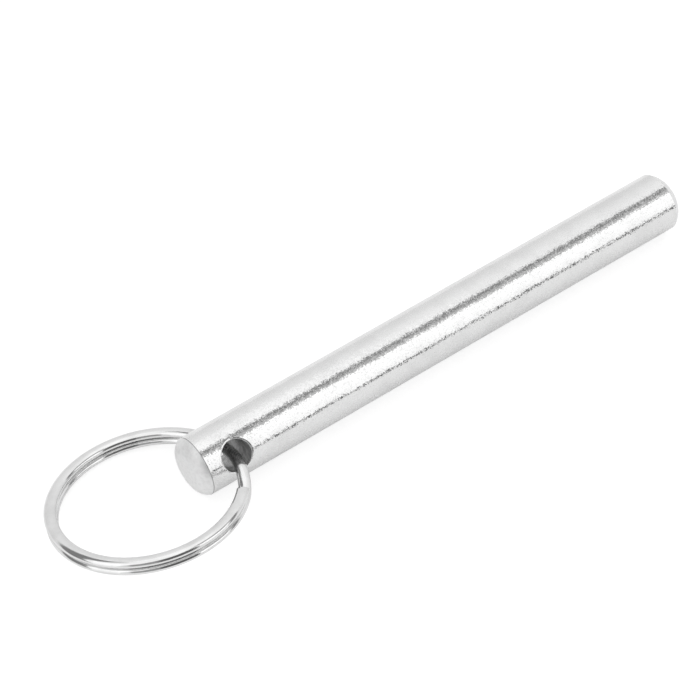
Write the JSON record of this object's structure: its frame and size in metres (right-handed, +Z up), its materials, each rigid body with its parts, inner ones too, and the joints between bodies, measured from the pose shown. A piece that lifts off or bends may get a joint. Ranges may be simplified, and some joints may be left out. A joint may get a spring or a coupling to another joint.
{
  "type": "weight stack pin",
  "caption": "Plain round steel selector pin with a split ring through a cross hole near its head, lying on its side.",
  "frame": {"origin": "centre of the flat face at the bar's tip, on the bar's axis", "axes": "+X along the bar, out of its tip; +Z up from the surface on which the pin lies"},
  "size_m": [0.1145, 0.0302, 0.0094],
  "materials": {
    "zinc_plated_steel": "bright zinc plate over drawn bar, fine lengthwise grain",
    "nickel_plated_wire": "polished nickel plate"
  },
  "bodies": {
    "bar": {"pin_rod": "zinc_plated_steel"},
    "ring": {"split_ring": "nickel_plated_wire"}
  },
  "joints": [
    {"name": "ring_swing", "type": "hinge", "parent": "bar", "child": "ring", "pos_m": [-0.0857, 0, 0], "axis": [0, -0.9138, 0.4062], "range_deg": [-166, 163]}
  ]
}
